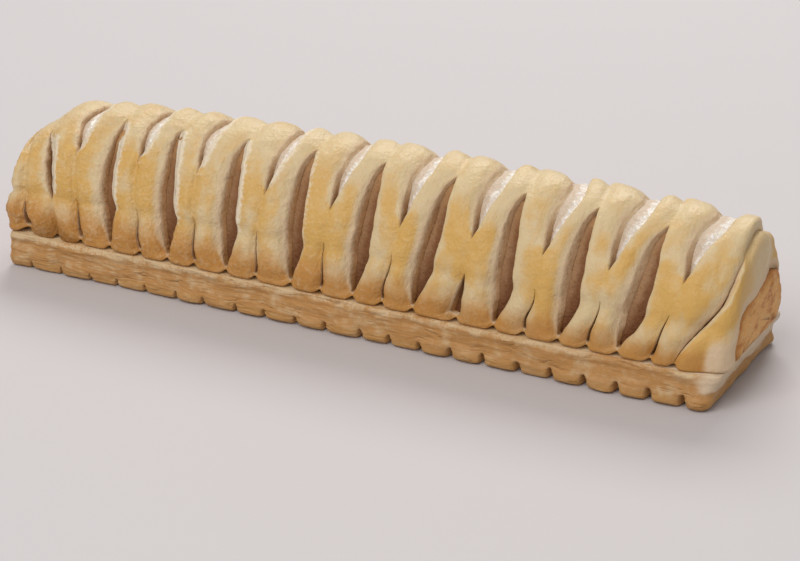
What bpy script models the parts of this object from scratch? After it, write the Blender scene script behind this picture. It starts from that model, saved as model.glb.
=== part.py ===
"""Lattice sausage roll.

A layered pastry base carries a long filling of sausage meat. A puff pastry sheet with rows of
staggered slits is draped over the filling, so the slits open into leaf shapes, and both ends of
the sheet are drawn in round the meat. X runs along the roll, Z is up, and the origin is on the
ground under the middle of the roll. Metres.
"""
import math
import random

import bmesh
import bpy

# ---- driving dimensions ----
LENGTH = 0.2000            # over both ends of the sheet
BASE_WIDTH = 0.0440        # over the layered base
BASE_HEIGHT = 0.0096
CROWN_HEIGHT = 0.0432      # top of the sheet at its highest, before the strips puff up
SHEET_WIDTH = 0.0424       # over the feet of the sheet
SHEET_THICKNESS = 0.0036
SLIT_LINES = 22            # slit lines along the roll, side slits and crown slits in turn
LINE_PITCH = 0.00937       # from one slit line to the next
NOTCHES = 22               # cuts along each bottom edge of the base
NOTCH_PITCH = 0.0087
GAP = 0.0003               # between pieces that touch

# ---- lengthwise places, from the middle of the roll ----
LEFT_END = -LENGTH / 2
RIGHT_END = LENGTH / 2
SHEET_LEFT = LEFT_END + 0.0014
SHEET_RIGHT = RIGHT_END - 0.0027
FIRST_LINE = LEFT_END - 0.0005
BASE_LEFT = LEFT_END + 0.0005
BASE_RIGHT = RIGHT_END - 0.0030
BASE_RIGHT_OVERHANG = 0.0014   # the top of the base reaches further than its foot
FIRST_NOTCH = LEFT_END + 0.0068

# ---- the long form of the sheet ----
CROWN_FALL = 0.0030        # fall of the crown's long curve, half a roll away from its top
CROWN_TOP_AT = 0.020       # where along the roll the crown is highest
LEFT_DROOP = 0.0092
LEFT_DROOP_REACH = 0.0060
LEFT_SHOULDER = 0.38       # how square the drooping left end stays at its shoulders
RIGHT_DROOP = 0.0030
RIGHT_DROOP_REACH = 0.0034
PITCH_DRIFT = 0.0012       # slow change in the spacing of the slits
END_SQUEEZE = (0.0030, 0.0026)    # the first and the last slit line stand nearer to their neighbours
LEFT_DRAW = 0.0160         # how far the strips near the left end are drawn towards it at the crown
LEFT_DRAW_REACH = 0.0060
FOOT_SHIFT = (0.0031, -0.0056)    # feet along from the strips' middles, at the left and right end
CROWN_SHIFT = (0.0010, 0.0034)    # crowns along from the strips' middles
FOOT_FLARE = 0.0008
PUFF = 0.0010              # middle of a strip above the sheet, and its edges below it

# ---- the slits; ways round are shares from the front foot (0) over the crown to the back foot (1)
MARGIN = 0.02              # whole band along each foot, sealed to the base
FOOT_SLIT_TOP = 0.13
CROWN_SLIT_TIP = (0.272, 0.205)   # at the left and right end of the roll
SIDE_SLIT_TOP = (0.47, 0.405)
BACK_SLIT_TOP = (0.47, 0.440)     # the side slits on the back reach nearer to the crown
SIDE_SLIT_WIDTH = (0.0030, 0.0042)
CROWN_SLIT_WIDTH = (0.0032, 0.0056)
FOOT_SLIT_WIDTH = 0.0009
TORN_LINE = 14             # the foot slit that tore open
TORN_WIDTH = 0.0030
UNEVEN = 0.008             # how far a slit's end strays from the rule

# ---- the drawn-in ends and the filling ----
MOUTH_WIDTH = 0.0290       # opening of the sheet round the meat at each end
MOUTH_HEIGHT = 0.0158
END_BULGE = (0.0006, 0.0012)    # how far the drawn-in ends stand out past the sheet's edge
FILLING_CLEARANCE = 0.0010
FILLING_TAPER = 0.0070

# ---- the levels of the base: height, how far each stands out, and how deep the notches cut it ----
BASE_LEVELS = (0.0, 0.0018, 0.0028, 0.0062, BASE_HEIGHT)
BASE_SWELL = (-0.0003, 0.0, 0.0002, 0.0004, 0.0)
NOTCH_DEPTHS = (0.0022, 0.0020, 0.0, 0.0, 0.0)
LUMP_SHARES = (0.4, 1.0, 0.7, 0.2, 0.0)   # share of the bulge below that each level has
LUMP_BULGE = (0.0002, 0.0014)    # bulge of the lumps between the notches, at the left and right end
NOTCH_WIDTH = 0.0012
LEFT_CORNER = 0.0012
RIGHT_CORNER = 0.0050
CORNER_STEPS = 3

ROWS_BETWEEN_KEYS = (1, 2, 2, 4, 2, 2, 4, 2, 2, 1)
MIDDLES = (0.3, 0.7)       # columns between two slit lines
SHEET_FOOT = BASE_HEIGHT + GAP
FILLING_STATIONS = 18
FILLING_SIDES = 14


def smooth(edge0, edge1, value):
    share = min(1.0, max(0.0, (value - edge0) / (edge1 - edge0)))
    return share * share * (3 - 2 * share)


def along(x):
    """Share of the way along the roll, 0 at the left end and 1 at the right."""
    return min(1.0, max(0.0, (x - LEFT_END) / LENGTH))


def between(ends, x):
    """Value at x of a size given at the left and the right end."""
    return ends[0] + (ends[1] - ends[0]) * along(x)


def material(name, colour, roughness):
    made = bpy.data.materials.new(name)
    made.use_nodes = True
    shader = made.node_tree.nodes["Principled BSDF"]
    shader.inputs["Base Color"].default_value = (*colour, 1)
    shader.inputs["Roughness"].default_value = roughness
    shader.inputs["Metallic"].default_value = 0
    return made


def place(name, mesh, finish):
    mesh.normal_update()
    data = bpy.data.meshes.new(name)
    mesh.to_mesh(data)
    mesh.free()
    data.materials.append(finish)
    made = bpy.data.objects.new(name, data)
    bpy.context.scene.collection.objects.link(made)


# ---- the sheet over the filling ----
def crown_height(x):
    """Height of the sheet's crown: one long low curve that droops at both ends."""
    from_top = (x - CROWN_TOP_AT) / (LENGTH / 2)
    left = LEFT_DROOP * math.exp(-(x - LEFT_END) / LEFT_DROOP_REACH)
    right = RIGHT_DROOP * math.exp(-(RIGHT_END - x) / RIGHT_DROOP_REACH)
    return CROWN_HEIGHT - CROWN_FALL * from_top * from_top - left - right


def line_place(line):
    """Where a slit line crosses the middle of the roll's side."""
    drift = PITCH_DRIFT * math.sin(2 * math.pi * (line - 2) / (SLIT_LINES - 3))
    from_last = SLIT_LINES - 1 - line
    squeeze = END_SQUEEZE[0] * math.exp(-3 * line) - END_SQUEEZE[1] * math.exp(-1.5 * from_last)
    return FIRST_LINE + LINE_PITCH * line - drift + squeeze


def sway(x, way):
    """Shift along the roll of a strip's foot and of its crown, less near the drawn-in ends."""
    half_way = min(way, 1 - way)
    low = max(0.0, 1 - half_way / 0.25)
    high = smooth(0.2, 0.5, half_way)
    ends = 1.3 * smooth(0.035, 0.0, along(x)) + 0.55 * smooth(0.968, 0.985, along(x))
    draw = LEFT_DRAW * math.exp(-(x - LEFT_END) / LEFT_DRAW_REACH) * smooth(LEFT_END, LEFT_END + 0.008, x)
    return (between(FOOT_SHIFT, x) * low * low + between(CROWN_SHIFT, x) * high) * (1 - ends) - draw * high


def loaf_point(x, way, lift=0.0):
    """Point on the sheet's outer face, x along the roll and way round from foot to foot."""
    angle = math.pi * way
    low = max(0.0, 1 - min(way, 1 - way) / FOOT_SLIT_TOP)
    x += sway(x, way)
    rise = crown_height(x) - SHEET_FOOT
    half = SHEET_WIDTH / 2 + FOOT_FLARE * low * low
    across, up = math.cos(angle), math.sin(angle)
    normal = (across / half, up / rise)
    size = math.hypot(*normal)
    square = 1 - LEFT_SHOULDER * math.exp(-(x - LEFT_END) / LEFT_DROOP_REACH)
    y = -(half * math.copysign(abs(across) ** square, across) + lift * normal[0] / size)
    z = SHEET_FOOT + rise * up ** square + lift * normal[1] / size
    return x, y, max(z, SHEET_FOOT)


def end_point(side, share, way, depth):
    """Point on a drawn-in end: share 0 is the sheet's edge, 1 the mouth round the meat."""
    edge = loaf_point(SHEET_RIGHT if side > 0 else SHEET_LEFT, way)
    angle = math.pi * way
    mouth_y = -MOUTH_WIDTH / 2 * math.cos(angle)
    mouth_z = SHEET_FOOT + MOUTH_HEIGHT * math.sin(angle)
    outward = math.sin(share * math.pi / 2)
    inward = math.cos(share * math.pi / 2)
    bulge = END_BULGE[1] if side > 0 else END_BULGE[0]
    x = edge[0] + side * (bulge - depth) * outward
    y = edge[1] + (mouth_y - edge[1]) * share + depth * inward * math.cos(angle)
    z = edge[2] + (mouth_z - edge[2]) * share - depth * inward * math.sin(angle)
    return x, y, max(z, SHEET_FOOT)


def stray(line, number):
    """Small uneven step of a slit's end, the same in every build."""
    return UNEVEN * random.Random(100 * line + number).uniform(-1, 1)


def key_ways(x, line=None):
    """Ways round of the slit tips at x, or on a slit line, from the front foot to the back foot."""
    front = [0, MARGIN, FOOT_SLIT_TOP, between(CROWN_SLIT_TIP, x), between(SIDE_SLIT_TOP, x), 0.5]
    back = front[:4] + [between(BACK_SLIT_TOP, x)]
    if line is not None:
        front = front[:2] + [key + stray(line, number) for number, key in enumerate(front[2:5])] + [0.5]
        back = back[:2] + [key + stray(line, number + 3) for number, key in enumerate(back[2:])]
    return front + [1 - key for key in reversed(back)]


def row_place(row):
    """Which two keys a row of the sheet lies between, and its share of the way from one to the other."""
    for key, rows in enumerate(ROWS_BETWEEN_KEYS):
        if row < rows:
            return key, row / rows
        row -= rows
    return len(ROWS_BETWEEN_KEYS), 0.0


def row_way(row, keys):
    key, share = row_place(row)
    if share == 0:
        return keys[key]
    return keys[key] + (keys[key + 1] - keys[key]) * share


def slit_opening(line, row):
    """Half the width that a slit opens to at a row, and 0 where the sheet is whole."""
    key, share = row_place(row)
    keys = key_ways(line_place(line), line)
    x = line_place(line)
    if line % 2:
        width = between(SIDE_SLIT_WIDTH, x) * (0.7 if line == SLIT_LINES - 1 else 1)
        spans = [(1, 4, width), (6, 9, width)]
    else:
        torn = line == TORN_LINE
        spans = [(1, 2, TORN_WIDTH if torn else FOOT_SLIT_WIDTH), (8, 9, FOOT_SLIT_WIDTH)]
        if line > 0:
            spans.append((3, 7, between(CROWN_SLIT_WIDTH, x)))
    for first, last, width in spans:
        if first < key + share < last:
            reach = (row_way(row, keys) - keys[first]) / (keys[last] - keys[first])
            return width / 2 * math.sin(math.pi * reach) ** 0.7
    return 0.0


def sheet_columns():
    """Columns of the sheet from left to right: what each one is, and its place or its slit line."""
    columns = [("left end", 1.0), ("left end", 0.5), ("edge", SHEET_LEFT)]
    for line in range(SLIT_LINES):
        columns.append(("line", line))
        if line < SLIT_LINES - 1:
            start, step = line_place(line), line_place(line + 1) - line_place(line)
            columns += [("middle", start + step * share) for share in MIDDLES]
    return columns + [("edge", SHEET_RIGHT), ("right end", 0.5), ("right end", 1.0)]


def column_point(column, row, depth, bank):
    """A vertex of the sheet; bank is -1 or +1 for the left or right bank of a slit."""
    kind, value = column
    if kind.endswith("end"):
        side = 1 if kind == "right end" else -1
        way = row_way(row, key_ways(SHEET_RIGHT if side > 0 else SHEET_LEFT))
        return end_point(side, value, way, depth)
    if kind == "line":
        opening = slit_opening(value, row)
        way = row_way(row, key_ways(line_place(value), value))
        lift = -PUFF if opening > FOOT_SLIT_WIDTH / 2 else 0.0
        return loaf_point(line_place(value) + bank * opening, way, -depth if depth else lift)
    way = row_way(row, key_ways(value))
    lift = PUFF if kind == "middle" else 0.0
    return loaf_point(value, way, -depth if depth else lift)


def build_lattice():
    mesh = bmesh.new()
    columns = sheet_columns()
    rows = sum(ROWS_BETWEEN_KEYS)
    corners = {}

    def corner(column, row, bank):
        kind, value = columns[column]
        opened = kind == "line" and slit_opening(value, row) > 0
        key = (column, row, bank if opened else 0)
        if key not in corners:
            faces = [column_point(columns[column], row, depth, key[2]) for depth in (0, SHEET_THICKNESS)]
            corners[key] = [mesh.verts.new(point) for point in faces]
        return corners[key]

    for column in range(len(columns) - 1):
        for row in range(rows):
            ring = [corner(column, row, 1), corner(column + 1, row, -1),
                    corner(column + 1, row + 1, -1), corner(column, row + 1, 1)]
            mesh.faces.new([pair[0] for pair in ring])
            mesh.faces.new([pair[1] for pair in reversed(ring)])

    under = {pair[0]: pair[1] for pair in corners.values()}
    for edge in [edge for edge in mesh.edges if edge.is_boundary and edge.verts[0] in under]:
        loop = edge.link_loops[0]
        start, end = loop.vert, loop.link_loop_next.vert
        mesh.faces.new([end, start, under[start], under[end]])
    place("pastry_lattice", mesh, material("golden_pastry", (0.72, 0.49, 0.24), 0.5))


# ---- the filling ----
def filling_station(x, depth):
    """Half width and height of the filling: full in the middle, drawn in to the mouths at the ends."""
    full = (SHEET_WIDTH / 2 - SHEET_THICKNESS - FILLING_CLEARANCE,
            crown_height(x) - SHEET_FOOT - SHEET_THICKNESS - FILLING_CLEARANCE)
    mouth = (MOUTH_WIDTH / 2 - FILLING_CLEARANCE, MOUTH_HEIGHT - FILLING_CLEARANCE)
    share = smooth(SHEET_THICKNESS + 2 * FILLING_CLEARANCE, SHEET_THICKNESS + FILLING_TAPER, depth)
    return [small + (large - small) * share for small, large in zip(mouth, full)]


def build_filling():
    left = SHEET_LEFT - END_BULGE[0]
    right = SHEET_RIGHT + END_BULGE[1]
    mesh = bmesh.new()
    rings = []
    for station in range(FILLING_STATIONS + 1):
        share = station / FILLING_STATIONS
        eased = 0.5 - 0.5 * math.cos(math.pi * share)
        x = left + (right - left) * (0.4 * share + 0.6 * eased)
        depth = min(x - SHEET_LEFT, SHEET_RIGHT - x)
        half, height = filling_station(x, depth)
        ring = []
        for step in range(FILLING_SIDES + 1):
            angle = math.pi * step / FILLING_SIDES
            z = SHEET_FOOT + height * math.sin(angle)
            ring.append(mesh.verts.new((x, -half * math.cos(angle), z)))
        rings.append(ring)
    count = FILLING_SIDES + 1
    for ring, following in zip(rings, rings[1:]):
        for step in range(count):
            after = (step + 1) % count
            mesh.faces.new([ring[step], following[step], following[after], ring[after]])
    mesh.faces.new(list(rings[0]))
    mesh.faces.new(list(reversed(rings[-1])))
    place("sausage_meat", mesh, material("baked_sausage_meat", (0.50, 0.28, 0.16), 0.7))


# ---- the layered base ----
def base_outline():
    """Outline of the base seen from above, anticlockwise: x, y, outward normal, and what stands there."""
    half = BASE_WIDTH / 2
    outline = []

    def corner(corner_x, corner_y, radius, quarter):
        centre = (corner_x - math.copysign(radius, corner_x), corner_y - math.copysign(radius, corner_y))
        for step in range(CORNER_STEPS + 1):
            angle = math.pi / 2 * (quarter + step / CORNER_STEPS)
            normal = (math.cos(angle), math.sin(angle))
            outline.append((centre[0] + radius * normal[0], centre[1] + radius * normal[1], normal, ""))

    def long_side(y, way, notches):
        for notch in notches:
            x = FIRST_NOTCH + NOTCH_PITCH * notch
            outline.append((x - way * NOTCH_WIDTH / 2, y, (0, -way), ""))
            outline.append((x, y, (0, -way), "notch"))
            outline.append((x + way * NOTCH_WIDTH / 2, y, (0, -way), ""))
            if notch != (NOTCHES - 1 if way > 0 else 0):
                outline.append((x + way * NOTCH_PITCH / 2, y, (0, -way), "lump"))

    long_side(-half, 1, range(NOTCHES))
    corner(BASE_RIGHT, -half, RIGHT_CORNER, -1)
    corner(BASE_RIGHT, half, RIGHT_CORNER, 0)
    long_side(half, -1, reversed(range(NOTCHES)))
    corner(BASE_LEFT, half, LEFT_CORNER, 1)
    corner(BASE_LEFT, -half, LEFT_CORNER, 2)
    return outline


def build_base():
    mesh = bmesh.new()
    outline = base_outline()
    rings = []
    for level, swell, notch_depth, lump_share in zip(BASE_LEVELS, BASE_SWELL, NOTCH_DEPTHS, LUMP_SHARES):
        ring = []
        for x, y, normal, kind in outline:
            out = swell
            if kind == "notch":
                out -= notch_depth
            if kind == "lump":
                out += lump_share * between(LUMP_BULGE, x)
            over = BASE_RIGHT_OVERHANG * level / BASE_HEIGHT * smooth(0, 1, normal[0])
            ring.append(mesh.verts.new((x + out * normal[0] + over, y + out * normal[1], level)))
        rings.append(ring)
    count = len(outline)
    for ring, above in zip(rings, rings[1:]):
        for step in range(count):
            after = (step + 1) % count
            mesh.faces.new([ring[step], ring[after], above[after], above[step]])
    mesh.faces.new(list(reversed(rings[0])))
    mesh.faces.new(list(rings[-1]))
    place("pastry_base", mesh, material("layered_pastry", (0.58, 0.36, 0.17), 0.6))


def build():
    for old in list(bpy.data.objects):
        bpy.data.objects.remove(old, do_unlink=True)
    build_base()
    build_filling()
    build_lattice()


build()
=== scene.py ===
"""Lattice sausage roll: a layered pastry base, the sausage meat, and a slit puff pastry sheet over it."""
import math
import random

import bmesh
import bpy
import numpy as np
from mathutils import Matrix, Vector, noise


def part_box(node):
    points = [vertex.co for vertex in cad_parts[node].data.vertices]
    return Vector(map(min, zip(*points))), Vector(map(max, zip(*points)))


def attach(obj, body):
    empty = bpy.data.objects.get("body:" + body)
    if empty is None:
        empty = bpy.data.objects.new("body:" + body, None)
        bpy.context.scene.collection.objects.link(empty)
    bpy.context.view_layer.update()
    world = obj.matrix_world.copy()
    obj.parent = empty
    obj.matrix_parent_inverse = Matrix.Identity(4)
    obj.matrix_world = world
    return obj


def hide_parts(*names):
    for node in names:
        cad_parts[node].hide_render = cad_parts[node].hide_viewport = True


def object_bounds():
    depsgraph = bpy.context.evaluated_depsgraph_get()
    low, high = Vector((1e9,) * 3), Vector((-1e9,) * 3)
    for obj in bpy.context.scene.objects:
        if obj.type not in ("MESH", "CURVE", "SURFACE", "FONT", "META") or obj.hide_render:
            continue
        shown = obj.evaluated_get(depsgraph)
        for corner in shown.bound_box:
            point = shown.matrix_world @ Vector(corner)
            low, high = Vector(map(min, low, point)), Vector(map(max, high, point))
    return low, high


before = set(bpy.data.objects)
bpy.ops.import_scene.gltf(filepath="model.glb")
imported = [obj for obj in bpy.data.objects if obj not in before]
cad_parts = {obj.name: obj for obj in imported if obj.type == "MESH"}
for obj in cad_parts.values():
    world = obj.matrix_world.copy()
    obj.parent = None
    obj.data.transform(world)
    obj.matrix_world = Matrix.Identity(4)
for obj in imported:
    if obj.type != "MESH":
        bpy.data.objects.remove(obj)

bl_info = {
    "name": "Lattice sausage roll",
    "version": (1, 0, 0),
    "blender": (4, 5, 0),
    "location": "View3D > Sidebar > Sausage roll",
    "description": "Bakes a lattice sausage roll from its base, its meat and its slit pastry sheet",
    "category": "Add Mesh",
}

CAD_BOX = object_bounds()
BASE_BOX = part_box("pastry_base")
MEAT_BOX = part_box("sausage_meat")
SHEET_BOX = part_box("pastry_lattice")
MM = 0.001


# ---- sizes and colours that a baker would change ----
def size(name, description, default, **more):
    return bpy.props.FloatProperty(name=name, description=description, default=default, unit="LENGTH", **more)


def pair(name, description, default, **more):
    return bpy.props.FloatVectorProperty(name=name, description=description, default=default, size=2, **more)


def colour(name, description, default):
    return bpy.props.FloatVectorProperty(name=name, description=description, default=default, size=3,
                                         subtype="COLOR", min=0.0, max=1.0)


class SheetSettings(bpy.types.PropertyGroup):
    """The slit puff pastry sheet over the meat"""
    crown: size("Crown", "Height of the sheet's crown before its strips puff up", 0.0432)
    width: size("Width", "Width over the feet of the sheet", 0.0416)
    thickness: size("Thickness", "Thickness of the baked sheet", 0.0031)
    wall: size("Slit wall", "How far the sloping wall of a slit runs", 0.0017)
    lines: bpy.props.IntProperty(name="Slit lines", description="Slit lines along the roll", default=22)
    pitch: size("Pitch", "From one slit line to the next", 0.00937)
    side_slit: pair("Side slits", "Width of the side slits at the left and right end", (0.0040, 0.0051),
                    unit="LENGTH")
    crown_slit: pair("Crown slits", "Width of the crown slits at the left and right end", (0.0036, 0.0058),
                     unit="LENGTH")
    foot_slit: size("Foot slits", "Width of the short slits between two feet", 0.0010)
    torn_slit: size("Torn slit", "Width of the foot slit that tore open", 0.0036)
    puff: size("Puff", "How far the middle of a strip stands up", 0.0010)
    soft_edge: size("Soft edge", "How far a strip's right edge slopes down to a slit", 0.0030)
    crisp_edge: size("Crisp edge", "Rounding of a strip's left edge", 0.0006)
    cream: colour("Cream", "Skin that took little colour", (0.65, 0.50, 0.285))
    gold: colour("Gold", "Egg-washed skin in the middle of the strips", (0.635, 0.38, 0.102))
    brown: colour("Brown", "The feet, nearest the tray", (0.50, 0.235, 0.052))
    cut: colour("Cut dough", "Walls of the slits and the cut ends", (0.68, 0.51, 0.33))
    foot_wall: colour("Foot walls", "Walls between two feet", (0.40, 0.20, 0.06))
    # painted shade: the bottom of the slit walls, darker where shade falls down in the slits
    deep_shade: colour("Deep", "The bottom of the slit walls", (0.36, 0.185, 0.075))


class MeatSettings(bpy.types.PropertyGroup):
    """The sausage meat under the sheet"""
    mouth_width: size("Mouth width", "Width of the meat at each end", 0.0312)
    mouth_height: size("Mouth height", "Height of the meat at each end", 0.0140)
    clearance: size("Clearance", "Gap between the meat and the sheet", 0.0001)
    crumb: size("Crumb", "Roughness of the meat's surface", 0.00035)
    # the pale meat is partly the meat's own pale colour and partly painted light from above under the crown slits
    pale: colour("Pale meat", "Meat under the crown slits", (0.73, 0.66, 0.58))
    # tan is the meat's own brown, made darker as painted shade for the slits; the darkest meat, low in the side slits,
    # is painted shade; the meat at the tips is painted light where light comes through the thin top tips of the side
    # slits
    tan: colour("Tan meat", "Meat behind the side slits", (0.21, 0.082, 0.023))
    painted_shade: colour("Dark meat", "Meat low in the side slits", (0.15, 0.052, 0.013))
    tip: colour("Meat at the tips", "Meat under the top tips of the side slits", (0.50, 0.27, 0.105))
    # painted light: the meat along the left wall of a side slit is painted lighter where light falls on it, not for
    # fat; the shaded meat along the left wall of a crown slit is painted shade
    painted_by_wall: colour("Meat by the wall", "Fatty meat along the left wall of a side slit", (0.36, 0.20, 0.095))
    shaded: colour("Shaded meat", "Meat along the left wall of a crown slit", (0.62, 0.49, 0.37))
    toasted: colour("Toasted meat", "The meat's ends", (0.76, 0.40, 0.13))


class BaseSettings(bpy.types.PropertyGroup):
    """The layered pastry base"""
    width: size("Width", "Width over the base", 0.0440)
    notches: bpy.props.IntProperty(name="Notches", description="Notches along each bottom edge", default=22)
    notch_pitch: size("Notch pitch", "From one notch to the next", 0.0087)
    notch_depth: size("Notch depth", "How deep a notch cuts in", 0.0022)
    lump: pair("Lumps", "Bulge of the lumps between notches at the left and right end", (0.0003, 0.0011),
               unit="LENGTH")
    tan: colour("Tan", "Browned layers", (0.475, 0.24, 0.077))
    pale: colour("Pale", "Layers that took no colour", (0.62, 0.45, 0.26))
    gold: colour("Gold", "The lumps along the bottom", (0.50, 0.265, 0.085))
    # painted shade: the crack colour is painted in the notches and in the cracks between layers, where shade falls
    crack: colour("Crack", "Gaps between layers", (0.24, 0.10, 0.03))


class StageSettings(bpy.types.PropertyGroup):
    """Floor, lights and camera"""
    floor: colour("Floor", "Colour of the floor", (0.56, 0.53, 0.54))
    key: bpy.props.FloatProperty(name="Key", description="Power of the light behind the roll", default=7.9)
    fill: bpy.props.FloatProperty(name="Fill", description="Power of the soft light in front", default=9.2)
    sky: bpy.props.FloatProperty(name="Sky", description="Strength of the light from all round", default=0.42)


# ---- small helpers ----
def smooth(edge0, edge1, value):
    part = np.clip((value - edge0) / (edge1 - edge0), 0.0, 1.0)
    return part * part * (3 - 2 * part)


def curve(places, values, at):
    """Soft curve through values at their places: straight runs with their corners rounded."""
    reach = 0.03
    return sum(np.interp(at + step * reach, places, values) for step in (-1, -0.5, 0, 0.5, 1)) / 5


def rough(points, grain, seed, octaves=2):
    """Noise in about -1 to 1 at each point, with bumps about one grain across."""
    scaled = points / grain + seed * 7.31
    return np.array([noise.fractal(Vector(p), 1.0, 2.0, octaves, noise_basis="PERLIN_ORIGINAL")
                     for p in scaled])


def start():
    if bpy.context.object and bpy.context.object.mode != "OBJECT":
        bpy.ops.object.mode_set(mode="OBJECT")
    bpy.ops.object.select_all(action="DESELECT")


def read(piece, name, width=1, kind="FLOAT"):
    values = np.empty(len(piece.data.vertices) * width)
    if name == "co":
        piece.data.vertices.foreach_get("co", values)
    else:
        piece.data.attributes[name].data.foreach_get("value", values)
    return values.reshape(-1, width) if width > 1 else values


def write(piece, name, values):
    if name == "co":
        piece.data.vertices.foreach_set("co", np.ascontiguousarray(values, dtype=np.float32).ravel())
        piece.data.update()
        return
    data = piece.data.attributes.get(name) or piece.data.attributes.new(name, "FLOAT", "POINT")
    data.data.foreach_set("value", np.ascontiguousarray(values, dtype=np.float32))


def select_edges(piece, wanted):
    """In edit mode with edges selected where wanted is true."""
    bpy.ops.object.mode_set(mode="EDIT")
    bpy.ops.mesh.select_mode(type="EDGE")
    bpy.ops.mesh.select_all(action="DESELECT")
    mesh = bmesh.from_edit_mesh(piece.data)
    mesh.edges.ensure_lookup_table()
    for number in np.flatnonzero(wanted):
        mesh.edges[int(number)].select = True
    bmesh.update_edit_mesh(piece.data)


def edge_ends(piece):
    ends = np.empty(len(piece.data.edges) * 2, dtype=np.int64)
    piece.data.edges.foreach_get("vertices", ends)
    return ends.reshape(-1, 2)


def finish_piece(piece, name, node, material):
    piece.name = piece.data.name = name
    piece.data.materials.clear()
    piece.data.materials.append(material)
    bpy.ops.object.shade_smooth()
    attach(piece, "root")
    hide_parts(node)


# ---- the long form of the roll ----
LEFT, RIGHT = -0.1000, 0.1000
FOOT = SHEET_BOX[0].z
FOOT_TOP = 0.13             # ways round the sheet: 0 is the front foot, 0.5 the crown, 1 the back foot
TURNS = {-1: (LEFT + 0.0014, 0.0010), 1: (RIGHT - 0.0046, 0.0034)}   # where the sheet turns in at an end, how far out
LIP = 0.0010                # how far the sheet's edge round the meat is drawn back


def along(x):
    return np.clip((x - LEFT) / (RIGHT - LEFT), 0.0, 1.0)


def between(ends, x):
    return ends[0] + (ends[1] - ends[0]) * along(x)


def crown_height(x):
    """Height of the crown: one long low curve that droops at both ends."""
    from_top = (x - 0.020) / 0.1
    left = 0.0092 * np.exp(-(x - LEFT) / 0.0060)
    right = 0.0006 * smooth(0.086, 0.096, x)
    return bpy.context.scene.roll_sheet.crown - 0.0030 * from_top ** 2 - left - right


def sway(x, way):
    """Shift along the roll of a strip's foot and of its crown, less near the drawn-in ends."""
    half_way = np.minimum(way, 1 - way)
    low = np.maximum(0.0, 1 - half_way / 0.25)
    high = smooth(0.2, 0.5, half_way)
    ends = 1.3 * smooth(0.035, 0.0, along(x)) + 0.55 * smooth(0.968, 0.985, along(x))
    draw = 0.0160 * np.exp(-(np.maximum(x, LEFT) - LEFT) / 0.0060) * smooth(LEFT, LEFT + 0.008, x)
    fade = smooth(LEFT - 0.004, LEFT + 0.0014, x) * smooth(RIGHT + 0.001, RIGHT - 0.0045, x)
    return ((between((0.0031, -0.0056), x) * low ** 2 + between((0.0010, 0.0034), x) * high) * (1 - ends)
            - draw * high) * fade


def mouth_point(way):
    """Point on the opening of the sheet round the meat: a low arch with full shoulders."""
    meat = bpy.context.scene.roll_meat
    across, up = np.cos(math.pi * way), np.sin(math.pi * way)
    back = smooth(0.3, 0.7, way)
    return (0.0022 - meat.mouth_width / 2 * np.sign(across) * np.abs(across) ** (0.95 - 0.30 * back),
            FOOT + meat.mouth_height * np.maximum(up, 0) ** (0.45 - 0.07 * back) - 0.0028 * across * up)


def section(x, way):
    """The sheet's arch at x: across, height, and the way out of it."""
    settings = bpy.context.scene.roll_sheet
    low = np.maximum(0.0, 1 - np.minimum(way, 1 - way) / FOOT_TOP)
    rise = crown_height(x) - FOOT
    half = settings.width / 2 + 0.0003 * low ** 2 - 0.0022 * smooth(0.0890, 0.0965, x)
    across, up = np.cos(math.pi * way), np.sin(math.pi * way)
    out_y, out_z = -across / half, up / rise
    length = np.hypot(out_y, out_z)
    square = 1 - 0.38 * np.exp(-(x - LEFT) / 0.0060)
    return (-half * np.sign(across) * np.abs(across) ** square, FOOT + rise * up ** square,
            out_y / length, out_z / length)


def thickness(way):
    """Thickness of the sheet: thinner where it stretched over the crown."""
    return bpy.context.scene.roll_sheet.thickness * (1 - 0.40 * smooth(0.24, 0.38, np.minimum(way, 1 - way)))


def end_turn(side, way):
    """At an end: where the turn starts, how far out and in it goes, and the way on to the mouth round the meat."""
    start, reach = TURNS[side]
    half_way = np.minimum(way, 1 - way)
    if side > 0:
        reach = reach - 0.0011 * smooth(0.35, 0.58, way)
    high = smooth(0.08, 0.45, half_way)
    radius = 0.0016 + 0.0030 * high if side < 0 else 0.0036 + 0.0010 * high
    start = start + (0.0012 * smooth(0.32, 0.46, half_way) if side > 0 else 0 * way)
    y, z, _, _ = section(start, way)
    mouth_y, mouth_z = mouth_point(way)
    span = np.hypot(mouth_y - y, mouth_z - z)
    quarter = math.pi / 4 * (reach + radius)
    rest = np.maximum(span - radius, 0.0006)
    return start, reach, radius, quarter, rest, (mouth_y - y) / span, (mouth_z - z) / span


def loaf_point(x, way, lift):
    """Point on the sheet's outer face and the way out from it; x runs on round the ends and down to the mouth."""
    x = x + sway(x, way)
    seat = np.clip(x, end_turn(-1, way)[0], end_turn(1, way)[0])
    y, z, out_y, out_z = section(seat, way)
    point, out = np.stack([seat, y, z], 1), np.stack([0 * x, out_y, out_z], 1)
    for side in (-1, 1):
        start, reach, radius, quarter, rest, in_y, in_z = end_turn(side, way)
        past = np.maximum(side * (x - start), 0)
        turn = np.minimum(past / quarter, 1) * math.pi / 2
        go_in = radius * (1 - np.cos(turn)) + np.maximum(past - quarter, 0)
        point[:, 0] += side * (reach * np.sin(turn) - LIP * smooth(0.3, 1, (past - quarter) / rest))
        point[:, 1] += in_y * go_in
        point[:, 2] += in_z * go_in
        out = out * np.cos(turn)[:, None]
        out[:, 0] += side * np.sin(turn)
    point += out * lift[:, None]
    point[:, 2] = np.maximum(point[:, 2], FOOT)
    return point, out


# ---- where the slits are and how they open ----
KEY_ROWS = (1, 24, 15, 26, 9, 7, 18, 11, 16, 1)    # rows of the sheet between two keys, foot to foot
LINE_COLUMNS = 11
END_COLUMNS = 24
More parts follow.
